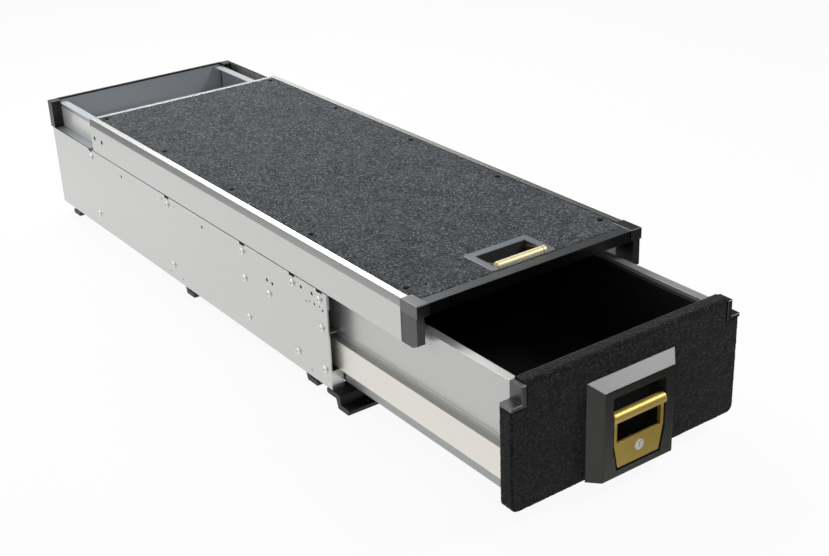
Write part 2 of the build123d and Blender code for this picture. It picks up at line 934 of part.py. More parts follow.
def floor_rail(inset):
    flange_low = board_low - sheet
    inner = inset + sheet
    band_foot = [(out(0), floor_top - band_height)]
    if inset > 0:
        band_foot = [(out(inset), rim_top + rim_over), (out(0), rim_top + rim_over)]
    outline = [(out(inset), ledge + skirt_gap)] + band_foot + [
        (out(band_set_in), floor_top),
        (out(edge_flange), floor_top),
        (out(edge_flange), board_low),
        (out(seat_width), board_low),
        (out(seat_width), flange_low),
        (out(inner), flange_low),
        (out(inner), rib_low + sheet),
        (out(rib_width), rib_low + sheet),
        (out(rib_width), rib_low),
        (out(inner), rib_low),
        (out(inner), ledge + skirt_gap),
    ]
    rail = along_y(outline, (rail_front, floor_rear))
    for hole in side_holes(carriage_holes, carriage_hole_r, inner + overrun):
        rail -= hole
    for y in screw_ys:
        through = (flange_low - overrun, board_low + overrun)
        rail -= rod_z(out(floor_screw_in), y, through, floor_screw_r + hole_gap)
    return rail


def floor_front_bar():
    low = floor_top - bar_height
    outline = [
        (bar_front, low),
        (bar_front, floor_top),
        (bar_rear, floor_top),
        (bar_rear, board_low),
        (bar_rear + bar_seat, board_low),
        (bar_rear + bar_seat, board_low - sheet),
        (bar_rear - bar_lip, board_low - sheet),
        (bar_rear - bar_lip, low),
    ]
    return along_x(outline, across(out(cap_width)))


def floor_cap():
    top = floor_top + cap_proud
    foot = ledge + stop_gap
    leg_front = floor_front + cap_leg_set_in
    cap = block((out(0), out(cap_width)), (floor_front, rail_front), (top - cap_drop, top))
    leg = [
        (leg_front, top - cap_drop),
        (rail_front, top - cap_drop),
        (rail_front, foot),
        (leg_front + cap_corner_length, foot),
        (leg_front, foot + cap_corner_rise),
    ]
    cap += along_x(leg, (out(cap_leg_in), out(cap_leg_in + cap_leg_width)))
    edges = cap.faces().sort_by(Axis.Z)[-1].edges()
    return fillet(edges, cap_edge)


def floor_rear_trim():
    return block(across(out(edge_flange)), (trim_front, floor_rear), (board_low, floor_top))


def under_screws(piece):
    for y in screw_ys:
        for side in (-1, 1):
            piece -= rod_z(side * out(floor_screw_in), y, (board_low - overrun, floor_top + overrun),
                           floor_screw_r + hole_gap)
    return piece


def floor_layer(z):
    # one layer of the floor between the rails, with the hole for the handle tub
    layer = block(across(out(edge_flange + touch)), (bar_rear + touch, trim_front - touch), z)
    through = (z[0] - overrun, z[1] + overrun)
    layer -= tub_bar(pocket_wall, through)
    corner = (out(-overrun), out(cap_width + touch))
    for x in (corner, (-corner[1], -corner[0])):
        layer -= block(x, (floor_front, rail_front + touch), through)
    return under_screws(layer)


def floor_screw(y):
    x = out(floor_screw_in)
    shank = rod_z(x, y, (board_low - sheet, floor_top), floor_screw_r)
    head = rod_z(x, y, (floor_top, floor_top + floor_screw_head), floor_screw_head_r)
    return shank + chamfer(head.faces().sort_by(Axis.Z)[-1].edges(), floor_screw_head / 2)


# Handle tub in the floor, its pull bail and the two catch rods that the bail draws in

tub_half = 56.0
tub_front = 39.0
tub_rear = 25.5
tub_drop = 34.0
pocket_wall = 1.5
bezel_half = 71.0
bezel_reach = 41.5
bezel_rise = 1.5
bezel_round = 5.0
boss_length = 32.5
boss_half = 7.0
boss_low = 37.0
boss_high = 19.0
bail_r = 7.5
bail_rise = 2.0
bail_gap = 1.0
hinge_drop = 9.0
hinge_rear = 18.5
bail_half = 54.5
bail_arm = 3.5
bail_arm_half = 3.0
bail_edge = 1.0
stub_r = 2.5
catch_r = 3.5
catch_inner = 72.0


def tub_bar(grow, z):
    # the finger opening, grown by a wall, between two heights
    reach = tub_half + grow
    return block((-reach, reach), (catch_y - tub_front - grow, catch_y + tub_rear + grow), z)


def floor_handle_tub():
    low = floor_top - tub_drop
    bezel_y = (catch_y - bezel_reach, catch_y + bezel_reach)
    bezel = block((-bezel_half, bezel_half), bezel_y, (floor_top, floor_top + bezel_rise))
    bezel = fillet(bezel.edges().filter_by(Axis.Z), bezel_round)
    tub = chamfer(bezel.faces().sort_by(Axis.Z)[-1].edges(), bezel_rise / 2)
    tub += tub_bar(pocket_wall, (low, floor_top))
    tub -= tub_bar(0, (low + pocket_wall, floor_top + bezel_rise + overrun))
    start = tub_half + pocket_wall
    for side in (-1, 1):
        boss = sorted((side * start, side * (start + boss_length)))
        tub += block(boss, (catch_y - boss_half, catch_y + boss_half),
                     (floor_top - boss_low, floor_top - boss_high))
        bore = sorted((side * (start + touch), side * (start + boss_length + overrun)))
        tub -= rod_x(bore, catch_y, catch_z, catch_r + run_clear)
        hinge = sorted((side * tub_half, side * start))
        tub -= rod_x(hinge, catch_y + hinge_rear, floor_top - hinge_drop, stub_r + run_clear)
    return tub


def floor_handle():
    bar_place = (catch_y - tub_front + bail_gap + bail_r, floor_top + bail_rise)
    hinge = (catch_y + hinge_rear, floor_top - hinge_drop)
    outline = [
        (bar_place[0], bar_place[1] - bail_arm_half),
        (hinge[0], hinge[1] - bail_arm_half),
        (hinge[0], hinge[1] + bail_arm_half),
        (bar_place[0], bar_place[1] + bail_arm_half),
    ]
    bar = rod_x((-bail_half, bail_half), *bar_place, bail_r)
    bail = chamfer(bar.edges().filter_by(GeomType.CIRCLE), bail_edge)
    for side in (-1, 1):
        arm = sorted((side * bail_half, side * (bail_half - bail_arm)))
        bail += along_x(outline, arm)
        bail += rod_x(arm, *hinge, bail_arm_half)
        stub = sorted((side * (bail_half - bail_arm), side * (tub_half + pocket_wall)))
        bail += rod_x(stub, *hinge, stub_r)
    return bail


def catch_rod():
    return rod_x((out(rail_wall_in + sheet + touch), -catch_inner), catch_y, catch_z, catch_r)


# Every piece under its own name

os.makedirs("parts", exist_ok=True)

make_foot_rails()
save("foot_bolts", both([foot_bolt(y) for y in foot_bolt_ys]))
save("side_panel_left", notches(side_panel(), sheet))
save("side_panel_right", mirrored(side_panel() + rim_wall()))
save("side_trim", mirrored(side_trim()))
save("front_gussets", both([gusset()]))
save("side_screws", both(side_screws()))
save("rear_panel", rear_panel())
save("rear_trim", rear_trim())
pair("rear_cap", rear_cap())
pair("upper_rail", upper_rail())
save("front_roller_axles", Compound([front_axle(0), mirrored(front_axle(right_inset))]))
save("floor_buffers", both([floor_buffer()]))
for end, y, z in (("front", front_roller_y, front_roller_z), ("rear", rear_roller_y, rear_roller_z)):
    save(end + "_roller_left", roller(0, y, z))
    save(end + "_roller_right", mirrored(roller(right_inset, y, z)))
pair("slide_outer", slide_outer())
pair("ball_cage", ball_cage())
save("striker_pin", striker_pin())

pair("slide_inner", slide_inner())
pair("drawer_side", drawer_side())
save("drawer_bottom", drawer_bottom())
save("drawer_back", drawer_back())
save("drawer_mat", drawer_mat())
save("drawer_liners", both([drawer_liner()]))
front_board = front_body(pile)
front_carpet = round_off(front_body(0), Axis.X, face_edge_r,
                         lambda middle: middle.Z > face_top - touch and middle.Y < face + touch)
front_carpet -= front_board
save("front_board", front_with_holes(front_board))
save("front_carpet", front_with_holes(front_carpet))
pair("front_cap", ear_cap())
save("handle_housing", handle_housing())
save("lever_pin", lever_pin())
save("latch_plate", latch_plate())
save("handle_lever", handle_lever())
save("lock_body", lock_body())
save("lock_plug", lock_plug())
save("latch_rod", latch_rod())
save("latch_pawl", latch_pawl())
save("latch_claw", latch_claw())

save("floor_rail_left", floor_rail(0))
save("floor_rail_right", mirrored(floor_rail(right_inset)))
save("floor_front_bar", floor_front_bar())
save("floor_rear_trim", floor_rear_trim())
pair("floor_cap", floor_cap())
save("floor_board", floor_layer((board_low, carpet_low)))
save("floor_carpet", floor_layer((carpet_low, floor_top)))
save("floor_screws", both([floor_screw(y) for y in screw_ys]))
save("roller_carriages", Compound([roller_carriage(0), mirrored(roller_carriage(right_inset))]))
save("floor_handle_tub", floor_handle_tub())
save("floor_handle", floor_handle())
pair("catch_rod", catch_rod())
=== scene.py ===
import math

import bmesh
import bpy
from mathutils import Matrix, Vector, noise


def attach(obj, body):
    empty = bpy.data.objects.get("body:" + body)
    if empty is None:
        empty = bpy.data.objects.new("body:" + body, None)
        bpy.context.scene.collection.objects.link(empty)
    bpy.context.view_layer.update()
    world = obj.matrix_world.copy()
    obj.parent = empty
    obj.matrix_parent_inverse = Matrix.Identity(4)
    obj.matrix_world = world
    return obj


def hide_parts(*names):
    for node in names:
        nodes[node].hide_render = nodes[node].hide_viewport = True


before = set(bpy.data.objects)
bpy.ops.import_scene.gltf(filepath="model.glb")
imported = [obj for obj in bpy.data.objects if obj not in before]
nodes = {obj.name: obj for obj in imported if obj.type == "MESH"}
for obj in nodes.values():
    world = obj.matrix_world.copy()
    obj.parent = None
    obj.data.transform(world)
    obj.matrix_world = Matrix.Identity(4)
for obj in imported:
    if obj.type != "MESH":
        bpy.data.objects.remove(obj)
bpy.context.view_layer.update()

print("frame loaded:", len(nodes), "nodes")


class Num:
    # a number that varies over a surface; arithmetic on it adds Math nodes
    def __init__(self, shade, socket):
        self.shade = shade
        self.socket = socket

    def __add__(self, other):
        return self.shade.math("ADD", self, other)

    __radd__ = __add__

    def __sub__(self, other):
        return self.shade.math("SUBTRACT", self, other)

    def __rsub__(self, other):
        return self.shade.math("SUBTRACT", other, self)

    def __mul__(self, other):
        return self.shade.math("MULTIPLY", self, other)

    __rmul__ = __mul__

    def __gt__(self, other):
        return self.shade.math("GREATER_THAN", self, other)

    def __lt__(self, other):
        return self.shade.math("LESS_THAN", self, other)

    def __abs__(self):
        return self.shade.math("ABSOLUTE", self)

    def root(self):
        return self.shade.math("SQRT", self)

    def clamped(self):
        return self.shade.math("ADD", self, 0.0, clamp=True)

    def within(self, limits):
        return (self > limits[0]) * (self < limits[1])

    def eased(self, limits):
        # 0 below the first limit, 1 above the second, and smooth between
        sockets = {"Value": self, "From Min": limits[0], "From Max": limits[1]}
        kind = {"interpolation_type": "SMOOTHSTEP"}
        made = self.shade.node("ShaderNodeMapRange", kind, sockets)
        return Num(self.shade, made.outputs["Result"])


class Shade:
    # a node tree, and short ways to put nodes in it
    def __init__(self, tree, place):
        self.tree = tree
        self.place = self.node("ShaderNodeTexCoord").outputs[place]

    def node(self, kind, settings=None, sockets=None):
        made = self.tree.nodes.new(kind)
        for setting, value in (settings or {}).items():
            setattr(made, setting, value)
        for socketName, value in (sockets or {}).items():
            self.feed(made.inputs[socketName], value)
        return made

    def feed(self, socket, value):
        if isinstance(value, Num):
            value = value.socket
        if isinstance(value, bpy.types.NodeSocket):
            self.tree.links.new(value, socket)
        else:
            socket.default_value = value

    def math(self, operation, first, second=0.0, clamp=False):
        settings = {"operation": operation, "use_clamp": clamp}
        made = self.node("ShaderNodeMath", settings, {0: first, 1: second})
        return Num(self, made.outputs[0])

    def parts(self, vector):
        # the three numbers of a vector or a colour
        made = self.node("ShaderNodeSeparateXYZ", {}, {"Vector": vector})
        return [Num(self, output) for output in made.outputs]

    def stretched(self, scale, turn=(0.0, 0.0, 0.0)):
        sockets = {"Vector": self.place, "Scale": scale, "Rotation": turn}
        return self.node("ShaderNodeMapping", {}, sockets).outputs["Vector"]

    def noise(self, scale, detail=2.0, roughness=0.5, at=None):
        sockets = {"Vector": at or self.place, "Scale": scale, "Detail": detail,
                   "Roughness": roughness}
        return Num(self, self.node("ShaderNodeTexNoise", {}, sockets).outputs["Fac"])

    def flecks(self, scale, at):
        # one random number for each small cell
        sockets = {"Vector": at, "Scale": scale}
        made = self.node("ShaderNodeTexVoronoi", {"feature": "F1"}, sockets)
        return self.parts(made.outputs["Color"])[0]

    def blend(self, factor, low, high):
        # a colour between two colours; sockets 6 and 7 are the mix node's colour inputs
        sockets = {"Factor": factor, 6: low, 7: high}
        return self.node("ShaderNodeMix", {"data_type": "RGBA"}, sockets).outputs[2]

    def seenAndMirrored(self):
        # whether a ray comes from the camera, and whether it is a reflection
        path = self.node("ShaderNodeLightPath")
        return [Num(self, path.outputs[name]) for name in ("Is Camera Ray", "Is Glossy Ray")]


class Paint(Shade):
    # one material: its principled shader and the nodes that feed it
    def __init__(self, name, **constants):
        self.material = bpy.data.materials.new(name)
        self.material.use_nodes = True
        super().__init__(self.material.node_tree, "Object")
        self.shader = self.tree.nodes["Principled BSDF"]
        for socketName, value in constants.items():
            self.shader.inputs[socketName.replace("_", " ")].default_value = value

    def mask(self, where):
        return where(*self.parts(self.place))

    def withSecondTone(self, color, other, where):
        # the other colour where the mask says so; most such second tones are painted shade or
        # painted light
        return color if where is None else self.blend(self.mask(where), color, other)

    def rounded(self, radius):
        # normals that run softly over the edges of a folded or moulded piece
        return self.node("ShaderNodeBevel", {"samples": 6}, {"Radius": radius}).outputs["Normal"]

    def bump(self, height, distance, strength, over=None):
        sockets = {"Height": height, "Distance": distance, "Strength": strength}
        if over is not None:
            sockets["Normal"] = over
        return self.node("ShaderNodeBump", {}, sockets).outputs["Normal"]

    def finish(self, color, roughness, normal):
        given = {"Base Color": color, "Roughness": roughness, "Normal": normal}
        for socketName, value in given.items():
            if value is not None:
                self.feed(self.shader.inputs[socketName], value)
        return self.material


def rgb(red, green, blue):
    # a colour as it shows, given in the 0 to 255 scale, as linear values
    def linear(value):
        share = value / 255
        return share / 12.92 if share <= 0.04045 else ((share + 0.055) / 1.055) ** 2.4
    return (linear(red), linear(green), linear(blue), 1.0)


def darker(tone, share):
    return tuple(part * share for part in tone[:3]) + (1.0,)


# Where a piece has its second tone, in metres of the shared frame. Most second tones are painted
# shade or painted light.

toneLines = {
    "panelSkin": (0.2472, 0.2497),
    "panelFront": -0.5855,
    "panelTop": 0.2915,
    "carpetEdge": (0.2325, 0.2337),
    "carpetLow": 0.296,
    "bandTopShade": 0.1293,
    "drawerLow": 0.072,
    "ledge": 0.2285,
    "flangeTop": 0.2765,
    "wallInner": 0.2234,
    "leverFront": -1.1262,
    "leverHalf": 0.0605,
    "leverPocketShade": (0.04, 0.187),
    "leverGripLight": 0.128,
    "bailPocketShade": 0.3069,
    "bailCollar": (0.0460, 0.0475),
    "bailBack": -0.8228,
    "barTopHighlight": 0.3062,
    "capSide": 0.2494,
}


def holeAndEdgeShade(x, y, z):
    # painted shade, near black: the cut edges of the holes in the outer sheets, and the floor
    # rails' edges at the carpet
    cuts = (y > toneLines["panelFront"]) * (z < toneLines["panelTop"])
    edges = abs(x).within(toneLines["carpetEdge"]) * (z > toneLines["carpetLow"])
    return abs(x).within(toneLines["panelSkin"]) * cuts + edges


def railShade(x, y, z):
    # painted shade, a darker grey: the ledge, the top flange's upper face, and the wall's inner
    # side
    wall = z.within((toneLines["ledge"], toneLines["flangeTop"]))
    flat = (z < toneLines["ledge"]) + (z > toneLines["flangeTop"])
    return flat + (abs(x) < toneLines["wallInner"]) * wall


# painted reflection: the slide band's top face is a darker grey, as where it mirrors the drawer
# side
def bandTopShade(x, y, z):
    return z > toneLines["bandTopShade"]


# the drawer side is darker below the slide: partly painted shade of the recess there, partly the
# duller metal of the tray edge
def belowSlideShadeAndTray(x, y, z):
    return z < toneLines["drawerLow"]


# painted shade: the pocket inside the lever's housing is made nearly black
def leverPocketShade(x, y, z):
    inside = (y > toneLines["leverFront"]) * (abs(x) < toneLines["leverHalf"])
    return inside * z.within(toneLines["leverPocketShade"])


# painted light: the lever's grip bar is a lighter gold than its plate
def leverGripLight(x, y, z):
    return z > toneLines["leverGripLight"]


# painted shade: the pocket of the floor handle's tub is made nearly black
def bailPocketShade(x, y, z):
    return z < toneLines["bailPocketShade"]


def bailShadeAndCollar(x, y, z):
    # painted shade, a darkened gold, on the bail's arms behind the grip where they sit in the
    # pocket; and a dark line at the collar near its right end
    return (x.within(toneLines["bailCollar"]) + (y > toneLines["bailBack"])).clamped()


# painted highlight: a lighter grey along the front bar's top lip
def barTopHighlight(x, y, z):
    return z > toneLines["barTopHighlight"]


# painted light: the caps' outer side faces are a lighter grey than the rest of the caps
def litOuterSide(x, y, z):
    return abs(x) > toneLines["capSide"]


# Materials: how each kind of surface is made up. Scales are cells per metre, depths are metres.

rolledSheet = {
    "rollScale": 60.0,
    "rollStretch": (1.0, 0.02, 1.0),
    "scuffScale": 700.0,
    "scuffStretch": (1.0, 0.12, 1.0),
    "cloudScale": 3.0,
    "shade": 0.94,
    "rollTone": 0.6,
    "cloudTone": 0.4,
    "rollGloss": 0.1,
    "cloudGloss": 0.08,
    "rollHeight": 0.7,
    "scuffHeight": 0.3,
    "depth": 0.00004,
    "strength": 0.2,
}


def sheetAluminium(name, tone, roughness=0.34, metal=1.0, edge=0.0012, second=None, where=None):
    # satin sheet metal with faint rolling streaks along Y and a cloudy sheen
    look = rolledSheet
    paint = Paint(name, Metallic=metal)
    alongRoll = paint.stretched(look["rollStretch"])
    streaks = paint.noise(look["rollScale"], detail=3.0, roughness=0.6, at=alongRoll)
    cloud = paint.noise(look["cloudScale"])
    alongScuffs = paint.stretched(look["scuffStretch"])
    scuffs = paint.noise(look["scuffScale"], roughness=0.6, at=alongScuffs)
    shading = (streaks * look["rollTone"] + cloud * look["cloudTone"]).clamped()
    color = paint.blend(shading, darker(tone, look["shade"]), tone)
    gloss = roughness + (streaks - 0.5) * look["rollGloss"] + (cloud - 0.5) * look["cloudGloss"]
    height = streaks * look["rollHeight"] + scuffs * look["scuffHeight"]
    normal = paint.bump(height, look["depth"], look["strength"], over=paint.rounded(edge))
    return paint.finish(paint.withSecondTone(color, second, where), gloss, normal)


coatGrain = {
    "grainScale": 1400.0,
    "cloudScale": 8.0,
    "shade": 0.8,
    "grainGloss": 0.12,
    "depth": 0.00012,
    "strength": 0.4,
    "edge": 0.0012,
}


def powderCoat(name, tone, roughness, shine, second=None, where=None):
    # black powder coat with its fine orange-peel grain
    look = coatGrain
    paint = Paint(name, Specular_IOR_Level=shine)
    grain = paint.noise(look["grainScale"], roughness=0.6)
    cloud = paint.noise(look["cloudScale"])
    color = paint.blend(cloud, darker(tone, look["shade"]), tone)
    edges = paint.rounded(look["edge"])
    normal = paint.bump(grain, look["depth"], look["strength"], over=edges)
    gloss = roughness + (grain - 0.5) * look["grainGloss"]
    return paint.finish(paint.withSecondTone(color, second, where), gloss, normal)


mouldGrain = {
    "grainScale": 2200.0,
    "cloudScale": 14.0,
    "shade": 0.85,
    "cloudGloss": 0.1,
    "depth": 0.00008,
    "strength": 0.35,
}


def mouldedPlastic(name, tone, roughness, edge=0.0012, shine=0.5, index=1.5, second=None,
                   where=None):
    # moulded plastic with a fine spark-eroded grain
    look = mouldGrain
    paint = Paint(name, Specular_IOR_Level=shine, IOR=index)
    grain = paint.noise(look["grainScale"], roughness=0.55)
    cloud = paint.noise(look["cloudScale"])
    color = paint.blend(cloud, darker(tone, look["shade"]), tone)
    normal = paint.bump(grain, look["depth"], look["strength"], over=paint.rounded(edge))
    gloss = roughness + (cloud - 0.5) * look["cloudGloss"]
    return paint.finish(paint.withSecondTone(color, second, where), gloss, normal)


tubGrain = {
    "grainScale": 2000.0,
    "frameRoughness": 0.36,
    "pocketRougher": 0.5,
    "grainGloss": 0.08,
    "depth": 0.00008,
    "strength": 0.3,
    "edge": 0.0015,
}


def tubPlastic(name, frameTone, pocketShadeTone, index, where):
    # a handle tub in one piece: its frame is satin, and the pocket inside it is dull, with
    # painted shade that makes it nearly black
    look = tubGrain
    paint = Paint(name, IOR=index)
    grain = paint.noise(look["grainScale"], roughness=0.55)
    pocket = paint.mask(where)
    edges = paint.rounded(look["edge"])
    normal = paint.bump(grain, look["depth"], look["strength"], over=edges)
    gloss = look["frameRoughness"] + pocket * look["pocketRougher"]
    gloss = gloss + (grain - 0.5) * look["grainGloss"]
    return paint.finish(paint.blend(pocket, frameTone, pocketShadeTone), gloss, normal)


needledPile = {
    "roughness": 0.92,
    "sheenRoughness": 0.45,
    "specular": 0.2,
    "alongStretch": (1.0, 0.62, 1.0),
    "alongTurn": 0.5,
    "acrossStretch": (0.66, 1.0, 1.0),
    "acrossTurn": -0.35,
    "clumpScale": 0.5,
    "cloudScale": 0.07,
    "fibreScale": 3.0,
    "clumpTone": 3.0,
    "cloudTone": 1.1,
    "groundTone": 0.44,
    "tipsFrom": 0.42,
    "tipsTone": 2.2,
    "fibreHeight": 0.55,
    "fleckHeight": 0.3,
    "clumpHeight": 0.4,
    "depth": 0.0013,
    "strength": 0.85,
}


def fleece(name, dark, middle, light, scale, sheen, contrast):
    # needled carpet: short fibres of several greys, lying every way
    look = needledPile
    paint = Paint(name, Roughness=look["roughness"], Sheen_Weight=sheen,
                  Sheen_Roughness=look["sheenRoughness"], Specular_IOR_Level=look["specular"])
    alongWay = paint.stretched(look["alongStretch"], (0.0, 0.0, look["alongTurn"]))
    acrossWay = paint.stretched(look["acrossStretch"], (0.0, 0.0, look["acrossTurn"]))
    along, across = paint.flecks(scale, alongWay), paint.flecks(scale, acrossWay)
    clump = paint.noise(scale * look["clumpScale"], detail=3.0, roughness=0.65)
    cloud = paint.noise(scale * look["cloudScale"], detail=3.0, roughness=0.6)
    fibre = paint.noise(scale * look["fibreScale"], detail=3.0, roughness=0.7)
    flecked = (along * 0.5 + across * 0.5 - 0.5) * contrast
    clumped = flecked + (clump - 0.5) * look["clumpTone"] + (cloud - 0.5) * look["cloudTone"]
    ground = paint.blend((clumped + look["groundTone"]).clamped(), dark, middle)
    tips = (along * across - look["tipsFrom"]).clamped() * look["tipsTone"]
    height = fibre * look["fibreHeight"] + along * look["fleckHeight"]
    height = height + clump * look["clumpHeight"]
    normal = paint.bump(height, look["depth"], look["strength"])
    return paint.finish(paint.blend(tips, ground, light), None, normal)


materials = {
    "silver": sheetAluminium("silverSheet", rgb(205, 206, 204), roughness=0.24, metal=0.9,
                             edge=0.0006, second=rgb(12, 12, 13), where=holeAndEdgeShade),
    "railSilver": sheetAluminium("railSheet", rgb(226, 226, 223), roughness=0.3, metal=0.6,
                                 second=rgb(168, 172, 178), where=railShade),
    "innerSilver": sheetAluminium("innerSheet", rgb(190, 191, 190), roughness=0.32, metal=0.9),
    "rearSilver": sheetAluminium("rearSheet", rgb(172, 177, 184), roughness=0.5, metal=0.45),
    "drawerSilver": sheetAluminium("drawerSheet", rgb(204, 205, 203), metal=0.65,
                                   second=rgb(166, 168, 167), where=belowSlideShadeAndTray),
    "band": sheetAluminium("slideBand", rgb(240, 236, 228), roughness=0.4, metal=0.75,
                           edge=0.0006, second=rgb(176, 175, 171), where=bandTopShade),
    "gold": sheetAluminium("goldAlloy", rgb(184, 157, 74), roughness=0.42, metal=0.6,
                           second=rgb(216, 188, 104), where=leverGripLight),
    # painted light: the bail's gold is made pale all over, standing in for its reflection of the
    # lamps
    "goldWithPaintedLight": sheetAluminium("goldWithPaintedLight", rgb(250, 238, 188), roughness=0.46, metal=0.4,
                               edge=0.0008, second=rgb(74, 65, 38), where=bailShadeAndCollar),
    "lockSteel": sheetAluminium("lockSteel", rgb(232, 230, 228), roughness=0.25, edge=0.0004),
    "zinc": sheetAluminium("zincSteel", rgb(226, 226, 222), roughness=0.3, edge=0.0004),
    "blackSteel": powderCoat("blackSteel", rgb(14, 15, 16), roughness=0.4, shine=0.35),
    "barSteel": powderCoat("barSteel", rgb(8, 8, 9), roughness=0.36, shine=0.3,
                           second=rgb(64, 66, 68), where=barTopHighlight),
    "darkScrew": powderCoat("darkScrew", rgb(6, 6, 7), roughness=0.65, shine=0.1),
    "blackPlastic": mouldedPlastic("blackPlastic", rgb(9, 10, 10), roughness=0.36, edge=0.0007,
                                   index=1.85, second=rgb(76, 79, 74), where=litOuterSide),
    "glossPlastic": mouldedPlastic("glossPlastic", rgb(14, 15, 15), roughness=0.24,
                                   edge=0.0015, shine=0.4),
    "lining": mouldedPlastic("blackLining", rgb(9, 9, 10), roughness=0.75, shine=0.2),
    "rubber": mouldedPlastic("matRubber", rgb(13, 13, 14), roughness=0.8, edge=0.0006,
                             shine=0.2),
    "nylon": mouldedPlastic("rollerNylon", rgb(215, 214, 208), roughness=0.4),
    "board": mouldedPlastic("filmPly", rgb(34, 29, 26), roughness=0.5),
    "handlePlastic": tubPlastic("handlePlastic", rgb(20, 19, 10), rgb(5, 5, 6), index=1.56,
                                where=leverPocketShade),
    "tubPlastic": tubPlastic("tubPlastic", rgb(98, 104, 114), rgb(4, 4, 5), index=1.75,
                             where=bailPocketShade),
    "floorFleece": fleece("floorFleece", rgb(9, 12, 15), rgb(80, 85, 90), rgb(132, 137, 141),
                          scale=440.0, sheen=0.12, contrast=1.1),
    "frontFleece": fleece("frontFleece", rgb(5, 6, 7), rgb(30, 32, 34), rgb(62, 65, 68),
                          scale=480.0, sheen=0.1, contrast=1.3),
}

nodeFinish = {
    "silver": ["side_panel_left", "side_panel_right", "floor_rail_left", "floor_rail_right",
               "front_gussets", "roller_carriages", "floor_rear_trim"],
    "railSilver": ["upper_rail_left", "upper_rail_right"],
    "drawerSilver": ["drawer_side_left", "drawer_side_right"],
    "innerSilver": ["slide_outer_left", "slide_outer_right", "drawer_back", "latch_plate"],
    "rearSilver": ["rear_panel"],
    "band": ["slide_inner_left", "slide_inner_right"],
    "blackSteel": ["front_foot_rail", "foot_rails", "rear_trim", "side_trim"],
    "barSteel": ["floor_front_bar"],
    "blackPlastic": ["front_cap_left", "front_cap_right", "floor_cap_left", "floor_cap_right"],
    "glossPlastic": ["rear_cap_left", "rear_cap_right"],
    "handlePlastic": ["handle_housing"],
    "tubPlastic": ["floor_handle_tub"],
    "board": ["front_board", "floor_board", "drawer_bottom"],
    "lining": ["drawer_liners"],
    "rubber": ["floor_buffers"],
    "gold": ["handle_lever"],
    "goldWithPaintedLight": ["floor_handle"],
    "lockSteel": ["lock_body", "lock_plug"],
    "zinc": ["side_screws", "foot_bolts", "striker_pin", "front_roller_axles", "lever_pin",
             "latch_rod", "latch_pawl", "latch_claw", "catch_rod_left", "catch_rod_right",
             "ball_cage_left", "ball_cage_right"],
    "darkScrew": ["floor_screws"],
    "nylon": ["front_roller_left", "front_roller_right", "rear_roller_left",
              "rear_roller_right"],
}


def dress(piece, finish):
    piece.data.materials.clear()
    piece.data.materials.append(materials[finish])


for finish, names in nodeFinish.items():
    for name in names:
        dress(nodes[name], finish)
print("materials on", sum(len(names) for names in nodeFinish.values()), "nodes")


# Fabric and rubber pieces

sameLine = 1e-6
pileSize = {"fine": 0.0032, "coarse": 0.011}


def spanAndMiddle(low, high):
    return high - low, (high + low) / 2


def flatGrid(width, length, columns, rows):
    # a flat grid centred on the origin
    mesh = bmesh.new()
    shape = Matrix.Diagonal((width / 2, length / 2, 1.0, 1.0))
    bmesh.ops.create_grid(mesh, x_segments=columns, y_segments=rows, size=1.0, matrix=shape)
    return mesh


def cellGrid(width, length, cell):
    return flatGrid(width, length, round(width / cell), round(length / cell))


def moved(mesh, offset):
    bmesh.ops.translate(mesh, verts=mesh.verts[:], vec=offset)


def snapLines(mesh, axis, targets):
    # moves the nearest row of vertices onto each cut line
    for target in targets:
        rows = {round(vertex.co[axis], 7) for vertex in mesh.verts}
        nearest = min(rows, key=lambda place: abs(place - target))
        for vertex in mesh.verts:
            if abs(vertex.co[axis] - nearest) < sameLine:
                vertex.co[axis] = target


def cutAway(mesh, inside):
    # deletes the faces whose middle is inside
    gone = [face for face in mesh.faces if inside(face.calc_center_median())]
    bmesh.ops.delete(mesh, geom=gone, context="FACES")


def rim(mesh):
    return [edge for edge in mesh.edges if edge.is_boundary]


def closeBelow(mesh, low):
    # a wall down from the rim, and a flat underside
    walls = bmesh.ops.extrude_edge_only(mesh, edges=rim(mesh))["geom"]
    for vertex in (part for part in walls if isinstance(part, bmesh.types.BMVert)):
        vertex.co.z = low
    bmesh.ops.triangle_fill(mesh, use_beauty=True, edges=rim(mesh))
    bmesh.ops.recalc_face_normals(mesh, faces=mesh.faces[:])


def pileRise(point, size):
    fine = size["fine"] * noise.noise(point / pileSize["fine"])
    return fine + size["coarse"] * noise.noise(point / pileSize["coarse"])


def addPiece(name, mesh, finish, body, replaced):
    data = bpy.data.meshes.new(name)
    mesh.to_mesh(data)
    mesh.free()
    piece = bpy.data.objects.new(name, data)
    bpy.context.scene.collection.objects.link(piece)
    dress(piece, finish)
    for face in data.polygons:
        face.use_smooth = True
    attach(piece, body)
    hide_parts(replaced)
    return piece


floorPile = {
    "half": 0.2327,
    "front": -0.8457,
    "rear": 0.4032,
    "low": 0.3031,
    "high": 0.3070,
    "cell": 0.0031,
    "cornerHalf": 0.2237,
    "cornerFront": -0.8222,
    "hole": (0.0675, -0.8412, -0.7625),
    "edgeDrop": 0.0009,
    "edgeReach": 0.004,
    "nearShare": 0.35,
    "screwHalf": 0.218,
    "screwFirst": -0.7955,
    "screwPitch": 0.295325,
    "screwCount": 5,
    "dimpleReach": 0.011,
    "dimpleDrop": 0.0019,
    "fine": 0.00055,
    "coarse": 0.0003,
}


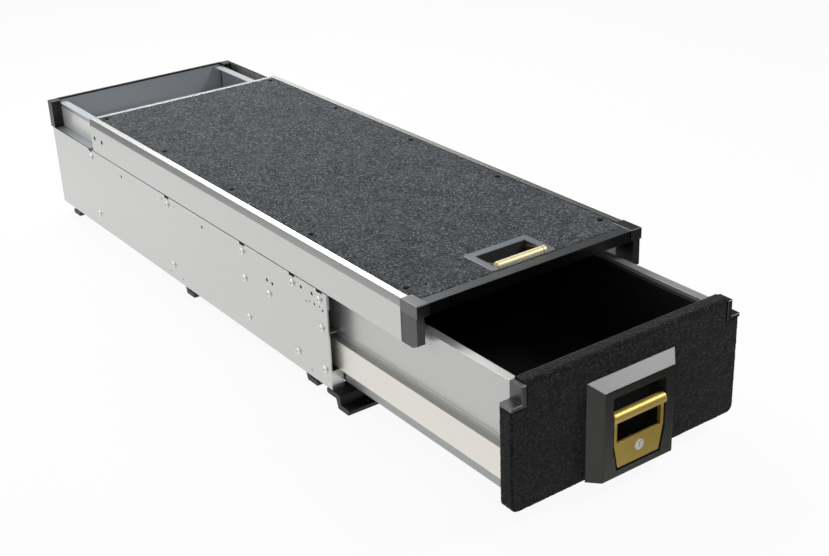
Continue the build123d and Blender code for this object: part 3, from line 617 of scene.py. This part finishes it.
def makeFloorCarpet(size):
    length, middle = spanAndMiddle(size["front"], size["rear"])
    mesh = cellGrid(size["half"] * 2, length, size["cell"])
    moved(mesh, (0, middle, 0))
    cornerHalf, cornerFront = size["cornerHalf"], size["cornerFront"]
    holeHalf, holeFront, holeRear = size["hole"]
    snapLines(mesh, 0, (-cornerHalf, -holeHalf, holeHalf, cornerHalf))
    snapLines(mesh, 1, (cornerFront, holeFront, holeRear))
    cutAway(mesh, lambda at: abs(at.x) > cornerHalf and at.y < cornerFront)
    cutAway(mesh, lambda at: abs(at.x) < holeHalf and holeFront < at.y < holeRear)
    border = {vertex for edge in rim(mesh) for vertex in edge.verts}
    screws = [Vector((side * size["screwHalf"], size["screwFirst"] + place * size["screwPitch"]))
              for side in (-1, 1) for place in range(size["screwCount"])]
    for vertex in mesh.verts:
        flat = vertex.co.xy
        if vertex in border:
            drop, rise = size["edgeDrop"], 0.0
        else:
            gap = min(size["half"] - abs(flat.x), flat.y - size["front"], size["rear"] - flat.y)
            near = max(0.0, 1 - gap / size["edgeReach"])
            drop, rise = size["edgeDrop"] * size["nearShare"] * near, pileRise(vertex.co, size)
        away = min((flat - screw).length for screw in screws)
        dimple = size["dimpleDrop"] * max(0.0, 1 - away / size["dimpleReach"])
        vertex.co.z = size["high"] - (drop + dimple) + rise
    closeBelow(mesh, size["low"])
    piece = addPiece("floorCarpet", mesh, "floorFleece", "sliding_floor", "floor_carpet")


frontPile = {
    "half": 0.25,
    "low": 0.0345,
    "high": 0.261,
    "face": -1.1045,
    "back": -1.0776,
    "cell": 0.0026,
    "earHalf": 0.22,
    "earLow": 0.22,
    "hole": (0.078, 0.046, 0.199),
    "topRound": 0.010,
    "sideRound": 0.004,
    "cornerRound": 0.016,
    "thick": 0.0036,
    "fine": 0.00065,
    "coarse": 0.0004,
}


def edgeRound(at, size):
    # eases a point of the square wrap over the board's front edges
    top = size["earLow"] if abs(at.x) > size["earHalf"] + sameLine else size["high"]
    edgeX = size["earHalf"] if at.z > size["earLow"] + sameLine else size["half"]
    gaps = {"side": edgeX - abs(at.x), "top": top - at.z, "bottom": at.z - size["low"]}
    nearest = min(gaps, key=gaps.get)
    onTop = nearest == "top" and top == size["high"]
    radius = size["topRound"] if onTop else size["sideRound"]
    gap, back = max(gaps[nearest], 0.0), at.y - size["face"]
    travel = radius - gap if back < sameLine else radius + back
    if travel <= 0 or back >= radius:
        return at
    angle = min(travel / (2 * radius), 1.0) * math.pi / 2
    inset, depth = radius * (1 - math.sin(angle)), radius * (1 - math.cos(angle))
    eased = Vector((at.x, size["face"] + depth, at.z))
    if nearest == "side":
        eased.x = math.copysign(edgeX - inset, at.x)
    elif nearest == "top":
        eased.z = top - inset
    else:
        eased.z = size["low"] + inset
    return eased


def cornerRound(at, size):
    # carries a point past one of the two lower corners onto the corner's curve
    corner = size["cornerRound"]
    middleX, middleZ = size["half"] - corner, size["low"] + corner
    past = Vector((abs(at.x) - middleX, middleZ - at.z))
    if past.x <= 0 or past.y <= 0:
        return at
    share = max(past) / past.length
    reach = middleX + past.x * share
    return Vector((math.copysign(reach, at.x), at.y, middleZ - past.y * share))


def makeFrontCarpet(size):
    # the face is a grid in X and Z; its rim is drawn back round the board
    height, middle = spanAndMiddle(size["low"], size["high"])
    mesh = cellGrid(size["half"] * 2, height, size["cell"])
    upright = Matrix.Rotation(math.pi / 2, 3, "X")
    bmesh.ops.rotate(mesh, verts=mesh.verts[:], cent=(0, 0, 0), matrix=upright)
    moved(mesh, (0, size["face"], middle))
    earHalf, earLow = size["earHalf"], size["earLow"]
    holeHalf, holeLow, holeHigh = size["hole"]
    snapLines(mesh, 0, (-earHalf, -holeHalf, holeHalf, earHalf))
    snapLines(mesh, 2, (earLow, holeLow, holeHigh))
    cutAway(mesh, lambda at: abs(at.x) > earHalf and at.z > earLow)
    outer = rim(mesh)
    depth = size["back"] - size["face"]
    steps = round(depth / size["cell"])
    for step in range(steps):
        drawn = bmesh.ops.extrude_edge_only(mesh, edges=outer)["geom"]
        outer = [part for part in drawn if isinstance(part, bmesh.types.BMEdge)]
        for vertex in {vertex for edge in outer for vertex in edge.verts}:
            vertex.co.y = size["face"] + depth * (step + 1) / steps
    cutAway(mesh, lambda at: abs(at.x) < holeHalf and holeLow < at.z < holeHigh)
    for vertex in mesh.verts:
        vertex.co = cornerRound(edgeRound(vertex.co, size), size)
    bmesh.ops.recalc_face_normals(mesh, faces=mesh.faces[:])
    mesh.normal_update()
    if sum(face.normal.y for face in mesh.faces) > 0:
        bmesh.ops.reverse_faces(mesh, faces=mesh.faces[:])
    mesh.normal_update()
    for vertex in mesh.verts:
        vertex.co += vertex.normal * pileRise(vertex.co, size)
    piece = addPiece("frontCarpet", mesh, "frontFleece", "drawer", "front_carpet")
    wall = piece.modifiers.new("thickness", "SOLIDIFY")
    wall.thickness = size["thick"]
    wall.offset = -1.0


ribbedMat = {
    "half": 0.1955,
    "front": -1.0765,
    "rear": 0.1000,
    "low": 0.0651,
    "high": 0.0688,
    "ribPitch": 0.006,
    "columnsPerRib": 4,
    "rows": 12,
    "grooveDepth": 0.0012,
}


def makeDrawerMat(size):
    # rubber mat with ribs that run from the front to the back
    width = size["half"] * 2
    length, middle = spanAndMiddle(size["front"], size["rear"])
    ribs = round(width / size["ribPitch"])
    mesh = flatGrid(width, length, ribs * size["columnsPerRib"], size["rows"])
    moved(mesh, (0, middle, 0))
    for vertex in mesh.verts:
        wave = math.cos(vertex.co.x / width * ribs * 2 * math.pi)
        vertex.co.z = size["high"] - size["grooveDepth"] * math.sqrt(max(0.0, wave))
    closeBelow(mesh, size["low"])
    addPiece("drawerMat", mesh, "rubber", "drawer", "drawer_mat")


makeFloorCarpet(floorPile)
makeFrontCarpet(frontPile)
makeDrawerMat(ribbedMat)
print("carpets and mat made")


# Camera, as the photograph was taken

camera = {
    "azimuth": -34.946,
    "elevation": 25.145,
    "roll": -2.452,
    "focalPixels": 1356.4,
    "imageWidth": 829,
    "sensorWidth": 36,
    "clipStart": 0.05,
    "place": (-1.3659, -2.4643, 1.2743),
}


def makeCamera():
    around, above, roll = (math.radians(camera[key]) for key in ("azimuth", "elevation", "roll"))
    level, right = math.cos(above), Vector((math.cos(around), math.sin(around), 0))
    back = Vector((math.sin(around) * level, -math.cos(around) * level, math.sin(above)))
    up = back.cross(right)
    turnedRight = right * math.cos(roll) + up * math.sin(roll)
    turnedUp = up * math.cos(roll) - right * math.sin(roll)
    data = bpy.data.cameras.new("photoCamera")
    data.sensor_width = camera["sensorWidth"]
    data.lens = camera["focalPixels"] / camera["imageWidth"] * camera["sensorWidth"]
    data.clip_start = camera["clipStart"]
    holder = bpy.data.objects.new("photoCamera", data)
    turn = Matrix((turnedRight, turnedUp, back)).transposed().to_4x4()
    holder.matrix_world = Matrix.Translation(Vector(camera["place"])) @ turn
    bpy.context.scene.collection.objects.link(holder)
    bpy.context.scene.camera = holder


# Studio: a pale floor and a white surround that falls off to the right, and soft lamps.
# The pairs named Reach say where a dimming starts and where it is complete.

white = (1, 1, 1, 1)
studio = {
    "floorHalf": 14.0,
    "floorTone": rgb(238, 238, 238),
    "floorWhite": 0.93,
    "darkWay": (0.94, -0.34),
    "floorReach": (0.1, 0.85),
    "floorDim": 0.92,
    "farStretch": (1.0, 0.45, 1.0),
    "farReach": (0.75, 1.3),
    "farDim": 0.8,
    "diffuseReach": (0.3, 0.68),
    "diffuse": 0.33,
    "diffuseDim": 0.8,
    "mirrorReach": (0.16, 0.32),
    "mirrorDim": 0.97,
    "bandHeight": 0.14,
    "bandReach": (0.14, 0.21),
    "bandDim": 0.6,
    "lamps": {
        "overhead": {"size": (1.5, 1.2), "power": 32.0, "at": (0.2, 1.2, 1.8),
                     "to": (0.0, -0.1, 0.2)},
        "rearWall": {"size": (3.4, 0.7), "power": 13.0, "at": (0.4, 3.3, 2.05),
                     "to": (0.0, 0.0, 0.3)},
        "rearHigh": {"size": (3.7, 1.1), "power": 21.0, "at": (1.05, 3.3, 2.95),
                     "to": (0.0, 0.0, 0.3)},
        "leftSide": {"size": (2.6, 1.3), "power": 16.0, "at": (-2.3, 0.4, 0.8),
                     "to": (0.0, -0.2, 0.2)},
        "rightFront": {"size": (0.7, 0.6), "power": 25.0, "at": (1.36, -1.85, 1.75),
                       "to": (0.0, -1.1, 0.2)},
    },
}


def darkShare(x, y, reach):
    # how far a direction or a place lies toward the dim corner of the studio
    return (x * studio["darkWay"][0] + y * studio["darkWay"][1]).eased(studio[reach])


def makeFloor():
    mesh = bmesh.new()
    bmesh.ops.create_grid(mesh, x_segments=2, y_segments=2, size=studio["floorHalf"])
    data = bpy.data.meshes.new("studioFloor")
    mesh.to_mesh(data)
    mesh.free()
    floor = bpy.data.objects.new("studioFloor", data)
    bpy.context.scene.collection.objects.link(floor)
    paint = Paint("studioFloor", Roughness=0.9, Specular_IOR_Level=0.0,
                  Base_Color=studio["floorTone"])
    seen, mirrored = paint.seenAndMirrored()
    x, y, z = paint.parts(paint.place)
    dim = darkShare(x, y, "floorReach")
    across, along, z = paint.parts(paint.stretched(studio["farStretch"]))
    far = (across * across + along * along).root().eased(studio["farReach"])
    shown = (1 - dim * studio["floorDim"]) * (1 - far * studio["farDim"])
    strength = 1 - mirrored * (1 - shown)
    glow = paint.node("ShaderNodeEmission", {}, {"Color": white, "Strength": strength})
    whiteShare = (seen + mirrored) * studio["floorWhite"]
    mix = paint.node("ShaderNodeMixShader", {}, {0: whiteShare, 1: paint.shader.outputs[0],
                                                2: glow.outputs[0]})
    paint.feed(paint.tree.nodes["Material Output"].inputs["Surface"], mix.outputs[0])
    data.materials.append(paint.material)


def makeSky():
    world = bpy.data.worlds.new("studioWorld")
    world.use_nodes = True
    bpy.context.scene.world = world
    sky = Shade(world.node_tree, "Generated")
    seen, mirrored = sky.seenAndMirrored()
    x, y, height = sky.parts(sky.place)
    band = 1 - abs(height - studio["bandHeight"]).eased(studio["bandReach"])
    turned = darkShare(x, y, "mirrorReach")
    shown = (1 - turned * studio["mirrorDim"]) * (1 - band * studio["bandDim"])
    dim = darkShare(x, y, "diffuseReach")
    soft = studio["diffuse"] * (1 - dim * studio["diffuseDim"])
    strength = seen + (1 - seen) * (mirrored * shown + (1 - mirrored) * soft)
    background = sky.tree.nodes["Background"]
    sky.feed(background.inputs["Color"], white)
    sky.feed(background.inputs["Strength"], strength)


def makeLamp(name, lamp):
    data = bpy.data.lights.new(name, "AREA")
    data.shape = "RECTANGLE"
    data.size, data.size_y = lamp["size"]
    data.energy = lamp["power"]
    holder = bpy.data.objects.new(name, data)
    place = Vector(lamp["at"])
    turn = (Vector(lamp["to"]) - place).to_track_quat("-Z", "Y").to_matrix().to_4x4()
    holder.matrix_world = Matrix.Translation(place) @ turn
    bpy.context.scene.collection.objects.link(holder)


makeCamera()
makeFloor()
makeSky()
for name, lamp in studio["lamps"].items():
    makeLamp(name, lamp)
bpy.context.scene.view_settings.view_transform = "Standard"
print("camera and studio made")
